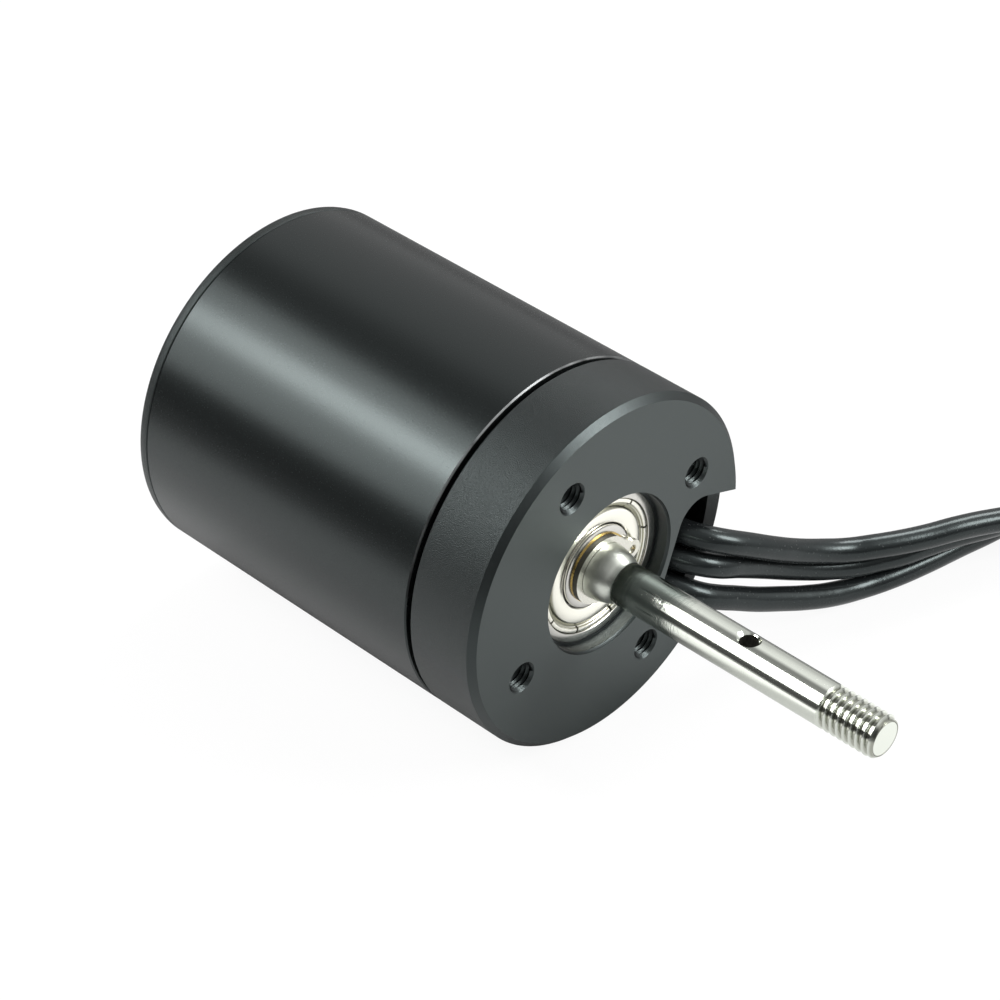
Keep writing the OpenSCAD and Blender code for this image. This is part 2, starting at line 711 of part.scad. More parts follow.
front_cap();
bearing_tube();
stator_core();
front_insulator();
rear_insulator();
for (i = [1 : tooth_count]) coil(i);
lead_grommet();
phase_splices();
front_outer_ring();
front_shield();
front_inner_shield();
rear_outer_ring();
rear_shields();
lead(0);  // lead_a
lead(1);  // lead_b
lead(2);  // lead_c
bullet(0);  // bullet_a
bullet(1);  // bullet_b
bullet(2);  // bullet_c
sleeve(0);  // sleeve_a
sleeve(1);  // sleeve_b
sleeve(2);  // sleeve_c
shaft();
can();
rear_bell();
bell_screw();
for (i = [1 : magnet_count]) magnet(i);
front_inner_ring();
rear_inner_ring();
front_shim();
retaining_ring();
front_balls();
front_cage();
rear_balls();
rear_cage();
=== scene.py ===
import math
import bpy
from mathutils import Matrix, Vector


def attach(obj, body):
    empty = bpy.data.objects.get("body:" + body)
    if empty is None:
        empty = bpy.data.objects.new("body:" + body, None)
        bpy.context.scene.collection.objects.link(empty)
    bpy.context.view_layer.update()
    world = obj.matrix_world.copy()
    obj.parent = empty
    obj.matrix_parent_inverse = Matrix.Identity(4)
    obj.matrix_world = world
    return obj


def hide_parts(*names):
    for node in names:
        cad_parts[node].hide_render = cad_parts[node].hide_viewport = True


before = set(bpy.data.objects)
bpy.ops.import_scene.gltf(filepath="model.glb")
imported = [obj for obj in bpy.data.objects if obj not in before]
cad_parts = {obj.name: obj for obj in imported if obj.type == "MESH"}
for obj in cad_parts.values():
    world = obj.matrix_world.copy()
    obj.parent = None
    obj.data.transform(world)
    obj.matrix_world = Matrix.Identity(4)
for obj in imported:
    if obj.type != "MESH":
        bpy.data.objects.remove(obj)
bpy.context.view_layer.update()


# Camera: a long lens that looks down on the shaft's end of the motor from the front right.
# Its place and turn were worked out from the round edges of the cap, the can and the bearing.
bpy.ops.object.select_all(action="DESELECT")
bpy.ops.object.camera_add(location=(0.21648, -0.24289, 0.26467))
camera = bpy.context.object
camera.data.lens = 117.06
camera_right = Vector((0.71674, 0.69734, 0.0))
camera_up = Vector((-0.42784, 0.43974, 0.78967))
camera_back = camera_right.cross(camera_up)
camera.rotation_euler = Matrix((camera_right, camera_up, camera_back)).transposed().to_euler()
camera.data.clip_start = 0.01
bpy.context.scene.camera = camera
bpy.context.scene.view_settings.view_transform = "Standard"


# Studio: a large soft box over the left of the motor with a brighter middle, small lamps behind and
# in front on the right, a pale wall behind and a white table. The dim rest gives the can its dark bands.
class Wire:
    """One socket of a finish. A sum that is written on it adds a Math node."""

    def __init__(self, finish, socket):
        self.finish, self.socket = finish, socket

    def math(self, operation, *values):
        return self.finish.node("ShaderNodeMath", dict(enumerate(values)), operation=operation)

    def __add__(self, other):
        return self.math("ADD", self, other)

    def __rsub__(self, other):
        return self.math("SUBTRACT", other, self)

    def __mul__(self, other):
        return self.math("MULTIPLY", self, other)

    def __pow__(self, other):
        return self.math("POWER", self, other)

    __radd__ = __add__
    __rmul__ = __mul__


class Finish:
    """The nodes of a surface or of the room's light."""

    def __init__(self, owner, shader, **sockets):
        owner.use_nodes = True
        self.owner, self.tree = owner, owner.node_tree
        self.shader = self.tree.nodes[shader]
        for name, value in sockets.items():
            self.shader.inputs[name.replace("_", " ")].default_value = value

    def node(self, kind, sockets, output=0, **settings):
        """Adds a node. A wire is linked to its socket, and any other value is set on it."""
        made = self.tree.nodes.new(kind)
        for name, value in settings.items():
            setattr(made, name, value)
        for name, value in sockets.items():
            if isinstance(value, Wire):
                self.tree.links.new(value.socket, made.inputs[name])
            else:
                made.inputs[name].default_value = value
        return Wire(self, made.outputs[output])

    def feed(self, name, wire):
        self.tree.links.new(wire.socket, self.shader.inputs[name])

    def ray(self, kind):
        """1 for rays of this kind, and 0 for others."""
        return self.node("ShaderNodeLightPath", {}, kind)

    def point(self):
        """Where a point of the surface lies, in metres."""
        return self.node("ShaderNodeTexCoord", {}, "Object")

    def along(self, axis):
        return self.node("ShaderNodeSeparateXYZ", {"Vector": self.point()}, axis)

    def off_shaft(self):
        """How far a point of the surface lies from the shaft's line, in mm."""
        across = {0: self.point(), 1: (0.0, 1000.0, 1000.0)}
        return self.length(self.node("ShaderNodeVectorMath", across, operation="MULTIPLY"))

    def length(self, wire):
        return self.node("ShaderNodeVectorMath", {0: wire}, "Value", operation="LENGTH")

    def grain(self, size, detail=2.0, stretch=(1.0, 1.0, 1.0)):
        """Noise whose grains are this many metres across, drawn out along an axis by its stretch."""
        scale = [1 / size / s for s in stretch]
        scaled = self.node("ShaderNodeMapping", {"Vector": self.point(), "Scale": scale})
        return self.node("ShaderNodeTexNoise", {"Vector": scaled, "Scale": 1.0, "Detail": detail})

    def bump(self, height, depth):
        """Lets a height, from 0 to 1, stand depth metres out of the surface."""
        self.feed("Normal", self.node("ShaderNodeBump", {"Height": height, "Distance": depth}))

    def tint(self, share, other):
        """Passes the base colour over to another by a share from 0 to 1."""
        plain = self.shader.inputs["Base Color"].default_value[:]
        mixed = self.node("ShaderNodeMix", {0: share, 6: plain, 7: (*other, 1.0)}, 2, data_type="RGBA")
        self.feed("Base Color", mixed)


def surface(name, color, **sockets):
    """The finish of a new material."""
    return Finish(bpy.data.materials.new(name), "Principled BSDF", Base_Color=(*color, 1.0), **sockets)


def between(low, high, wire):
    """0 where a wire is below low and 1 where it is above high, with a soft passage."""
    ends = {"Value": wire, "From Min": low, "From Max": high}
    return wire.finish.node("ShaderNodeMapRange", ends, interpolation_type="SMOOTHSTEP")


room = Finish(bpy.data.worlds.new("studio_room"), "Background", Color=(1.0, 1.0, 1.0, 1.0))
bpy.context.scene.world = room.owner
way = room.node("ShaderNodeTexCoord", {}, "Generated")
way_x, way_y, way_z = (room.node("ShaderNodeSeparateXYZ", {"Vector": way}, axis) for axis in "XYZ")
dim = 0.08
ceiling = 0.2 * between(0.5, 0.9, way_z)
wall = between(0.08, 0.42, way_y) * (0.54 + 0.24 * between(0.2, 0.6, way_z))
front = (0.4 + 0.5 * between(0.05, 0.4, way_y)) * between(0.1, 0.5, way_x) * between(0.15, 0.5, way_z)
seen = room.ray("Is Camera Ray")
room.feed("Strength", (dim + ceiling + wall + front) * (1.0 - seen) + seen)

for name, (width, depth), watts, place in (
    ("soft_box", (0.44, 0.53), 3.0, (-0.35, -0.352, 0.408)),
    ("soft_box_middle", (0.30, 0.12), 1.6, (-0.31, -0.32, 0.425)),
    ("back_lamp", (0.16, 0.22), 1.3, (-0.07, 0.38, 0.39)),
    ("front_lamp", (0.2, 0.2), 2.0, (0.37, 0.26, 0.31)),
):
    bpy.ops.object.light_add(type="AREA", location=place)
    lamp = bpy.context.object
    lamp.name = name
    lamp.data.shape = "RECTANGLE"
    lamp.data.size, lamp.data.size_y, lamp.data.energy = width, depth, watts
    lamp_back = Vector(place).normalized()
    lamp_side = (Vector((1.0, 0.0, 0.0)) - lamp_back * lamp_back.x).normalized()
    lamp.rotation_euler = Matrix((lamp_side, lamp_back.cross(lamp_side), lamp_back)).transposed().to_euler()

table_radius, table_z = 0.7, -0.0255
bpy.ops.mesh.primitive_circle_add(
    vertices=96, radius=table_radius, fill_type="NGON", location=(0.0, 0.0, table_z))
table = bpy.context.object
table.name = "table"

# The camera sees the table white. Metal and gloss mirror it as grey paper with painted light, which is
# brightest in front of the motor on the right, fades with distance, and is painted dark where the motor's
# shade falls.
paper = surface("table_paper", (0.86, 0.86, 0.86), Roughness=0.9)
mirrored = paper.ray("Is Glossy Ray")
near = 1.0 - between(0.12, 0.22, paper.length(paper.point()))
ahead = between(-0.005, 0.012, paper.along("X"))
right = between(0.0, 0.02, paper.along("Y"))
shade = between(-0.034, -0.012, paper.along("Y")) * (1.0 - ahead) + 0.6 * ahead * (1.0 - right)
lit = 0.25 * (1.0 - shade) + 0.4 * ahead * right
white = 0.92 * paper.ray("Is Camera Ray") + mirrored * near * lit + 0.5 * paper.ray("Is Transmission Ray")
glow = paper.node("ShaderNodeEmission", {"Color": (1.0, 1.0, 1.0, 1.0), "Strength": 1.0})
plain_paper = Wire(paper, paper.shader.outputs[0])
paper_and_glow = paper.node("ShaderNodeMixShader", {0: white, 1: plain_paper, 2: glow})
paper.tree.links.new(paper_and_glow.socket, paper.tree.nodes["Material Output"].inputs["Surface"])
paper.tint(mirrored * (1.0 - near * (1.0 - 0.95 * shade)), (0.12, 0.12, 0.12))
table.data.materials.append(paper.owner)


# Leads: three stranded copper wires in soft black silicone, 3.5 mm across. They leave a slot in
# the cap, bend over its ledge, run side by side along the table and end in plugs.
lead_width = 0.0035
lead_routes = {
    "a": [
        (-9, 17, -4.5), (-8, 17, -4.5), (-5.9, 17.1, -4.6), (-3.4, 17.8, -4.8), (-1, 19.3, -5.4),
        (0.9, 21.7, -6.5), (2.3, 25.3, -8.4), (3.3, 29.5, -10.9), (4.1, 33.8, -13.3), (5.2, 37.8, -15),
        (6.8, 41.4, -16), (8.8, 44.8, -16.2), (10.6, 48.2, -16.4), (12.4, 52.2, -16.6), (14.2, 56.4, -16.6),
        (16.2, 61.2, -17), (19, 67.2, -17.8), (22.4, 74.2, -19.2), (25.8, 82.2, -20.8), (28.6, 91.2, -22.2),
        (30.6, 100.6, -23.2), (31.5, 110, -23.7), (31.5, 119, -23.5), (31.5, 126, -23), (31.5, 130, -22.8),
        (31.5, 134, -22.8)],
    "b": [
        (-9, 15.5, -8), (-8, 15.5, -8), (-5.6, 15.6, -8.1), (-3, 16.5, -8.4), (-0.9, 18.2, -9.1),
        (0.6, 20.8, -10.3), (1.2, 24.9, -12.3), (1.8, 29.7, -14.9), (3, 34.7, -17.4), (4.8, 39.6, -19.2),
        (6.6, 43.6, -20), (8.2, 46.8, -20), (9.6, 49.8, -20), (11, 53.6, -19.8), (12.6, 58.2, -19.8),
        (14.6, 64, -20.2), (16.2, 71, -21.2), (17.6, 79, -22.2), (18.8, 87.6, -23), (20, 96.6, -23.4),
        (21, 105.2, -23.7), (21.5, 113, -23.7), (21.5, 120, -23.5), (21.5, 126, -23), (21.5, 130, -22.8),
        (21.5, 134, -22.8)],
    "c": [
        (-9, 14, -11.5), (-8, 14, -11.5), (-5.8, 14.1, -11.6), (-3.5, 14.7, -11.9), (-1.3, 16, -12.6),
        (0.3, 17.8, -13.7), (1.3, 20.2, -15), (2.1, 23.2, -16.5), (3, 26.6, -18.2), (4, 30.4, -19.8),
        (5.2, 34.6, -21.4), (6.4, 39.2, -22.8), (7.6, 44.2, -23.7), (9.2, 49, -23.7), (10.6, 54.2, -23.5),
        (11.8, 60.4, -23.4), (13, 68, -23.6), (13.6, 77, -23.7), (13.4, 86.8, -23.5), (12.8, 96.6, -23.3),
        (12, 105.8, -23.5), (11.5, 114, -23.7), (11.5, 121, -23.5), (11.5, 126, -23), (11.5, 130, -22.8),
        (11.5, 134, -22.8)],
}
cool_gloss = (0.86, 1.0, 0.99, 1.0)  # black anodising and silicone mirror a little less red
silicone = surface("lead_silicone", (0.009, 0.0105, 0.011), IOR=1.42, Specular_Tint=cool_gloss)
lint = between(0.70, 0.76, silicone.grain(0.00035, 1.0))
silicone.tint(0.5 * lint, (0.08, 0.08, 0.078))
silicone.feed("Roughness", 0.18 + 0.12 * silicone.grain(0.004) + 0.3 * lint)
silicone.bump(silicone.grain(0.0009, 4.0), 0.00002)
for letter, route in lead_routes.items():
    bpy.ops.object.select_all(action="DESELECT")
    bpy.ops.curve.primitive_bezier_curve_add(location=(0.0, 0.0, 0.0))
    lead = bpy.context.object
    lead.name = "silicone_lead_" + letter
    spline = lead.data.splines[0]
    spline.bezier_points.add(len(route) - 2)
    for point, place in zip(spline.bezier_points, route):
        point.co = Vector(place) / 1000
        point.handle_left_type = point.handle_right_type = "AUTO"
    lead.data.bevel_depth = lead_width / 2
    lead.data.bevel_resolution = lead.data.resolution_u = 10
    lead.data.use_fill_caps = True
    lead.data.materials.append(silicone.owner)
    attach(lead, "stator")
    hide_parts("lead_" + letter)


# Plugs: gold plated brass, with a solder cup, a flange and a sprung pin that four slots divide.
# Each is soldered to its lead's end.
def choose(piece):
    """Selects a piece alone, for the next operator."""
    bpy.ops.object.select_all(action="DESELECT")
    piece.select_set(True)
    bpy.context.view_layer.objects.active = piece


def placed(piece, place=(0.0, 0.0, 0.0), turn=(0.0, 0.0, 0.0)):
    """Turns a piece by degrees, moves it by mm, and writes both into its mesh."""
    choose(piece)
    piece.rotation_euler = [math.radians(degrees) for degrees in turn]
    piece.location = [mm / 1000 for mm in place]
    bpy.ops.object.transform_apply(location=True, rotation=True, scale=True)
    return piece


def repeated(piece, names):
    """A piece that has the first of these names, and a copy with its own mesh for each other name."""
    pieces = [piece]
    for name in names[1:]:
        choose(piece)
        bpy.ops.object.duplicate()
        bpy.context.object.name = name
        pieces.append(bpy.context.object)
    return pieces


def turned(name, steps, segments=128, capped=False):
    """A piece turned on a lathe along X: a circle that is extruded from ring to ring. steps are
    places along the shaft and radii, in mm. A capped piece has flat ends, another closes on itself."""
    bpy.ops.object.select_all(action="DESELECT")
    x, r = steps[0]
    bpy.ops.mesh.primitive_circle_add(
        vertices=segments, radius=r / 1000, fill_type="NGON" if capped else "NOTHING",
        location=(x / 1000, 0.0, 0.0), rotation=(0.0, math.pi / 2, 0.0))
    piece = bpy.context.object
    piece.name = name
    bpy.ops.object.transform_apply(location=True, rotation=True, scale=True)
    bpy.ops.object.mode_set(mode="EDIT")
    bpy.ops.mesh.select_mode(type="EDGE")
    bpy.ops.mesh.select_all(action="SELECT")
    for next_x, next_r in steps[1:]:
        bpy.ops.mesh.extrude_edges_move(TRANSFORM_OT_translate={"value": ((next_x - x) / 1000, 0.0, 0.0)})
        if next_r != r:
            bpy.ops.transform.resize(
                value=(1.0, next_r / r, next_r / r), center_override=(next_x / 1000, 0.0, 0.0))
        x, r = next_x, next_r
    if capped:
        bpy.ops.mesh.edge_face_add()
    bpy.ops.mesh.select_all(action="SELECT")
    bpy.ops.mesh.remove_doubles(threshold=1e-7)
    bpy.ops.mesh.normals_make_consistent(inside=False)
    bpy.ops.object.mode_set(mode="OBJECT")
    return piece


def slab(name, low, high):
    """A block between two corners, in mm."""
    bpy.ops.object.select_all(action="DESELECT")
    bpy.ops.mesh.primitive_cube_add(size=1.0, location=[(a + b) / 2000 for a, b in zip(low, high)])
    piece = bpy.context.object
    piece.name = name
    piece.scale = [(b - a) / 1000 for a, b in zip(low, high)]
    bpy.ops.object.transform_apply(location=True, rotation=True, scale=True)
    return piece


def modify(piece, kind, **settings):
    """Adds a modifier to a piece and applies it."""
    choose(piece)
    modifier = piece.modifiers.new(kind.lower(), kind)
    for name, value in settings.items():
        setattr(modifier, name, value)
    bpy.ops.object.modifier_apply(modifier=modifier.name)


def cut(piece, cutter, operation="DIFFERENCE"):
    """Takes a cutter out of a piece, or keeps or adds it, and then removes the cutter."""
    modify(piece, "BOOLEAN", operation=operation, solver="EXACT", object=cutter)
    bpy.data.objects.remove(cutter)


def cut_round(piece, cutter, turns):
    """Takes copies of a cutter out of a piece, each turned about the shaft's line by degrees."""
    for copy, turn in zip(repeated(cutter, ["turned_" + cutter.name] * len(turns)), turns):
        cut(piece, placed(copy, turn=(turn, 0.0, 0.0)))


def break_edges(piece, width, angle=32.0):
    """Bevels the edges of a piece that are sharper than an angle, by a width in mm."""
    modify(piece, "BEVEL", width=width / 1000, segments=2, limit_method="ANGLE",
           angle_limit=math.radians(angle), use_clamp_overlap=True)


def coat(piece, *finishes):
    """Gives a piece its finishes. The first is on all its faces until others are told apart."""
    for finish in finishes:
        piece.data.materials.append(finish.owner)


def finished(piece, finish, body, slot, *nodes, edge=0.0, angle=32.0):
    """Breaks a piece's sharp edges by edge mm, shades it, and sets it in place of its CAD nodes."""
    if edge:
        break_edges(piece, edge, angle)
    choose(piece)
    bpy.ops.object.shade_smooth_by_angle(angle=math.radians(angle))
    if not piece.data.materials:
        coat(piece, finish)
    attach(piece, body)
    if nodes:
        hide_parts(*nodes)
    return piece


gold = surface("gold_plate", (0.83, 0.58, 0.2), Metallic=1.0)
gold.feed("Roughness", 0.16 + 0.14 * gold.grain(0.0006, 3.0))
gold.bump(gold.grain(0.00012, 2.0, (0.2, 6.0, 6.0)), 0.000004)
plug = turned("plug_a", [
    (0, 2.1), (7.2, 2.1), (7.2, 2.4), (8, 2.4), (8, 1.4), (9.5, 1.4), (10.1, 1.55), (11, 1.75), (13.5, 1.8),
    (15.9, 1.72), (16.6, 1.5), (17.2, 1.15), (17.5, 0.8)], 48, capped=True)
slit_half = 0.2
cut_round(plug, slab("slit", (9.5, -slit_half, -3.0), (16.0, slit_half, 3.0)), (0.0, 90.0))
plug_places = {"a": (31.5, 134.0, -22.8), "b": (21.5, 134.0, -22.8), "c": (11.5, 134.0, -22.8)}
along_the_leads = (0.0, 0.0, 90.0)
plugs = dict(zip(plug_places, repeated(plug, ["plug_a", "plug_b", "plug_c"])))
for letter, plug in plugs.items():
    placed(plug, plug_places[letter], along_the_leads)
    finished(plug, gold, "stator", "gold_plate", "bullet_" + letter, edge=0.08)


# Shrink sleeves: black heat-shrink over the solder cup and the last of each lead's silicone.
# The ends draw in on the lead, and the wall shows the cup's flange as a low swelling.
shrink = surface("shrink_sleeve", (0.014, 0.014, 0.015))
shrink.feed("Roughness", 0.34 + 0.2 * shrink.grain(0.0025, 3.0))
shrink.bump(shrink.grain(0.0011, 4.0, (1.0, 2.0, 1.0)), 0.00003)
sleeve = turned("shrink_sleeve_a", [
    (-4, 1.77), (-4, 2.02), (-3.85, 2.12), (-2.4, 2.2), (-0.9, 2.3), (-0.2, 2.5), (0.5, 2.58), (3.5, 2.6),
    (6.6, 2.58), (7.1, 2.56), (7.2, 2.48), (7.2, 2.12), (0, 2.12), (0, 1.77), (-4, 1.77)], 48)
sleeve_names = ["shrink_sleeve_a", "shrink_sleeve_b", "shrink_sleeve_c"]
sleeves = dict(zip(plug_places, repeated(sleeve, sleeve_names)))
for letter, sleeve in sleeves.items():
    placed(sleeve, plug_places[letter], along_the_leads)
    finished(sleeve, shrink, "stator", "shrink_sleeve", "sleeve_" + letter, angle=50.0)


# Lead grommet: moulded black rubber that fills the cap's window behind the leads.
# It is a CAD solid, with a matt rubber finish.
def carried(finish, *nodes):
    """Gives CAD solids that stay as they are their finish."""
    for node in nodes:
        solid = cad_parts[node]
        solid.data.materials.clear()
        coat(solid, finish)


rubber = surface("grommet_rubber", (0.012, 0.012, 0.012))
rubber.feed("Roughness", 0.6 + 0.25 * rubber.grain(0.001, 3.0))
rubber.bump(rubber.grain(0.0003, 3.0), 0.00002)
carried(rubber, "lead_grommet")


# Front cap: turned aluminium, bead-blasted and anodised black. It is bored for the bearing, milled
# for the lead slot, and drilled and tapped with four M4 holes.
blasted = surface("blasted_black", (0.003, 0.0034, 0.0034), IOR=1.42, Specular_Tint=cool_gloss)
blast = blasted.grain(0.00012, 3.0)
blasted.tint(blast, (0.011, 0.012, 0.012))
blasted.feed("Roughness", 0.27 + 0.12 * blast)
blasted.bump(blast, 0.00007)
faced = surface("faced_black", (0.011, 0.013, 0.0125), IOR=1.75, Specular_Tint=cool_gloss)
face_grain = faced.grain(0.00012, 2.0)
faced.feed("Roughness", 0.42 + 0.12 * face_grain)
faced.bump(face_grain, 0.00001)
# This black finish is also used as painted shade inside the bearing's outer ring.
bored_and_painted_shade = surface("bored_black", (0.003, 0.0034, 0.0036), IOR=1.6, Specular_Tint=cool_gloss)
bored_and_painted_shade.feed("Roughness", 0.24 + 0.2 * bored_and_painted_shade.grain(0.0004, 2.0))
bored_and_painted_shade.bump(bored_and_painted_shade.grain(0.00014, 2.0), 0.00003)

cap = turned("front_cap_anodised", [
    (0, 11.65), (0, 11.85), (0, 24.4), (0, 24.6), (-0.9, 25.5), (-1.05, 25.5), (-10.6, 25.5), (-10.75, 25.5),
    (-11, 25.25), (-11, 22.6), (-13.2, 22.6), (-13.2, 20.8), (-10.8, 20.8), (-10.8, 12), (-16, 12), (-16, 10),
    (-10.6, 10), (-10.6, 8.5), (-9.2, 8.5), (-9.2, 11), (-2.2, 11), (-2.2, 11.42), (-0.42, 11.42),
    (-0.36, 11.5), (0, 11.65)], 192)

slot_inner_y, slot_outer_y, slot_half, slot_corner, slot_turn = 12.6, 40.0, 8.85, 4.0, -20.5


def slot_block(name, low_x, high_x):
    """The shape of the slot's milling: straight sides, and an inner end with two round corners."""
    block = slab(name, (low_x, slot_inner_y, -slot_half), (high_x, slot_outer_y, slot_half))
    bpy.ops.object.mode_set(mode="EDIT")
    bpy.ops.mesh.select_all(action="DESELECT")
    bpy.ops.object.mode_set(mode="OBJECT")
    for edge in block.data.edges:
        a, b = (block.data.vertices[end].co for end in edge.vertices)
        at_inner_end = 1000 * max(a.y, b.y) < slot_inner_y + 0.1
        along_shaft = abs(a.x - b.x) > 1e-5
        edge.select = at_inner_end and along_shaft
    bpy.ops.object.mode_set(mode="EDIT")
    bpy.ops.mesh.select_mode(type="EDGE")
    bpy.ops.mesh.bevel(offset=slot_corner / 1000, offset_type="OFFSET", segments=12, affect="EDGES")
    bpy.ops.object.mode_set(mode="OBJECT")
    return placed(block, turn=(slot_turn, 0.0, 0.0))


cut(cap, slot_block("slot_pocket", -3.3, 1.0))
window = slot_block("slot_window", -15.0, 0.0)
cut(window, turned("window_reach", [(-16, 22.9), (1, 22.9)], 192, capped=True), "INTERSECT")
cut(cap, window)
bolt_radius, bolt_turns = 18.0, (24.5, 114.5, 204.5, 294.5)
bolt_places = [
    (0.0, bolt_radius * math.cos(math.radians(turn)), bolt_radius * math.sin(math.radians(turn)))
    for turn in bolt_turns]
drill = turned("drill", [(-8.6, 0.3), (-8, 2.0), (-0.28, 2.0), (0.3, 2.58)], 48, capped=True)
for drill, place in zip(repeated(drill, ["drill"] * len(bolt_places)), bolt_places):
    cut(cap, placed(drill, place))
break_edges(cap, 0.12)
coat(cap, blasted, faced, bored_and_painted_shade)
for face in cap.data.polygons:
    on_face = face.normal.x > 0.9 and face.center.x > -0.0002
    on_chamfer = face.normal.x > 0.4 and -0.0008 < face.center.x < -0.0001
    in_bore = math.hypot(face.center.y, face.center.z) < 0.0122 and face.center.x > -0.004
    if on_face:
        face.material_index = 1
    elif on_chamfer or in_bore:
        face.material_index = 2
finished(cap, blasted, "stator", "cap_black", "front_cap")


# Threads of the mounting holes: the tapped M4 turns, seen as fine ridges inside each hole.
# One helix is made and copied to the four holes.
def helix(name, start, radius, height, pitch, turns, inwards=False, steps=40):
    """A thread's ridge: a triangle that the Screw modifier carries round and along the shaft's line."""
    bpy.ops.object.select_all(action="DESELECT")
    bpy.ops.mesh.primitive_circle_add(
        vertices=3, radius=pitch / 2000, location=(start / 1000, radius / 1000, 0.0),
        rotation=(0.0, 0.0, math.pi if inwards else 0.0))
    ridge = bpy.context.object
    ridge.name = name
    triangle_height = 0.75 * pitch
    ridge.scale = (1.0, height / triangle_height, 1.0)
    bpy.ops.object.transform_apply(location=True, rotation=True, scale=True)
    modify(ridge, "SCREW", axis="X", angle=2 * math.pi, screw_offset=pitch / 1000, iterations=turns,
           steps=steps, render_steps=steps, use_normal_calculate=True)
    bpy.ops.object.mode_set(mode="EDIT")
    bpy.ops.mesh.select_all(action="SELECT")
    bpy.ops.mesh.remove_doubles(threshold=1e-7)
    bpy.ops.mesh.fill_holes(sides=3)
    bpy.ops.mesh.normals_make_consistent(inside=False)
    bpy.ops.object.mode_set(mode="OBJECT")
    return ridge


thread = helix("mount_thread_1", start=-7.9, radius=1.87, height=0.34, pitch=0.7, turns=11, inwards=True)
threads = repeated(thread, ["mount_thread_1", "mount_thread_2", "mount_thread_3", "mount_thread_4"])
for thread, place in zip(threads, bolt_places):
    finished(placed(thread, place), bored_and_painted_shade, "stator", "cap_black")


# Can: a turned tube that carries the magnets, blacked all over and polished to a satin.
# The upper part of its front chamfer is bare metal with a painted highlight, lighter in patches towards the
# top.
satin = surface("can_satin_black", (0.0045, 0.0052, 0.0052), IOR=1.4, Specular_Tint=cool_gloss)
satin.feed("Roughness", 0.24 + 0.05 * satin.grain(0.0002, 2.0))
satin.bump(satin.grain(0.00022, 2.0), 0.000008)
bare = surface("bare_edge", (0.025, 0.027, 0.027), Metallic=1.0)
bare.feed("Roughness", 0.24 + 0.14 * bare.grain(0.0004, 2.0))
# Painted highlight: the bare lip gets lighter in patches towards its top.
top_highlight_patches = between(0.006, 0.015, bare.along("Z")) * between(0.2, 0.6, bare.grain(0.004, 4.0))
bare.tint(top_highlight_patches, (0.28, 0.29, 0.29))
can = turned("can_tube", [
    (-61.3, 23.3), (-61.4, 23.4), (-61.4, 25.34), (-61.24, 25.5), (-11.95, 25.5), (-11.74, 25.34),
    (-11.7, 25.2), (-11.7, 23.3), (-61.3, 23.3)], 192)
coat(can, satin, bare)
# Only the front chamfer's upper faces take the bare finish that carries the painted highlight.
for face in can.data.polygons:
    on_front_chamfer = 0.3 < face.normal.x < 0.99 and face.center.x > -0.012
    if on_front_chamfer and face.center.z > 0.004:
        face.material_index = 1
finished(can, satin, "rotor", "can_black", "can")


# Rear bell: turned aluminium with the cap's blasted finish. It closes the can, its hub holds the
# shaft, and a low screw of blackened steel goes into the shaft's end.
bell = turned("rear_bell_anodised", [
    (-61.4, 25.34), (-61.52, 25.5), (-62.5, 25.5), (-62.75, 25.43), (-62.93, 25.25), (-63, 25), (-63, 4),
    (-61.1, 4), (-61.1, 2.1), (-60.6, 2.1), (-60.6, 4.01), (-52, 4.01), (-52, 4.86), (-53.2, 4.86),
    (-53.2, 9), (-58.4, 9), (-58.4, 23.29), (-61.4, 23.29), (-61.4, 25.34)], 192)
finished(bell, blasted, "rotor", "cap_black", "rear_bell", edge=0.1)
# Blackened steel for the bell's screw; on the retaining ring's edges and in the pin hole the same finish is
# painted shade.
blackened_and_painted_shade = surface("blackened_steel", (0.08, 0.078, 0.066), Metallic=0.8)
blackened_and_painted_shade.feed("Roughness", 0.3 + 0.2 * blackened_and_painted_shade.grain(0.0005, 3.0))
screw = turned("bell_cap_screw", [
    (-52.6, 1.6), (-61.1, 1.63), (-61.1, 3.5), (-62.6, 3.5), (-63, 3.1)], 64, capped=True)
hexagon_radius, hexagon_length, bell_back_x = 0.00167, 0.0024, -0.063
bpy.ops.mesh.primitive_cylinder_add(
    vertices=6, radius=hexagon_radius, depth=hexagon_length, location=(bell_back_x, 0.0, 0.0),
    rotation=(0.0, math.pi / 2, 0.0))
hexagon_socket = bpy.context.object
cut(screw, hexagon_socket)
finished(screw, blackened_and_painted_shade, "rotor", "screw_steel", "bell_screw", edge=0.08)


# Front bearing: two ground steel rings. The pressed shield between them has a flat, a dished step,
# and a lip that nine notches divide, which snaps into the outer ring. Its hollows are darkened by old grease
# and painted shade.
ground = surface("ground_steel", (0.66, 0.65, 0.61), Metallic=1.0)
ground.feed("Roughness", 0.14 + 0.16 * ground.grain(0.0003, 2.0, (1.0, 4.0, 4.0)))
ground.bump(ground.grain(0.00015, 3.0), 0.000003)
pressed = surface("pressed_shield", (0.97, 0.96, 0.86), Metallic=1.0)
pressed_r = pressed.off_shaft()
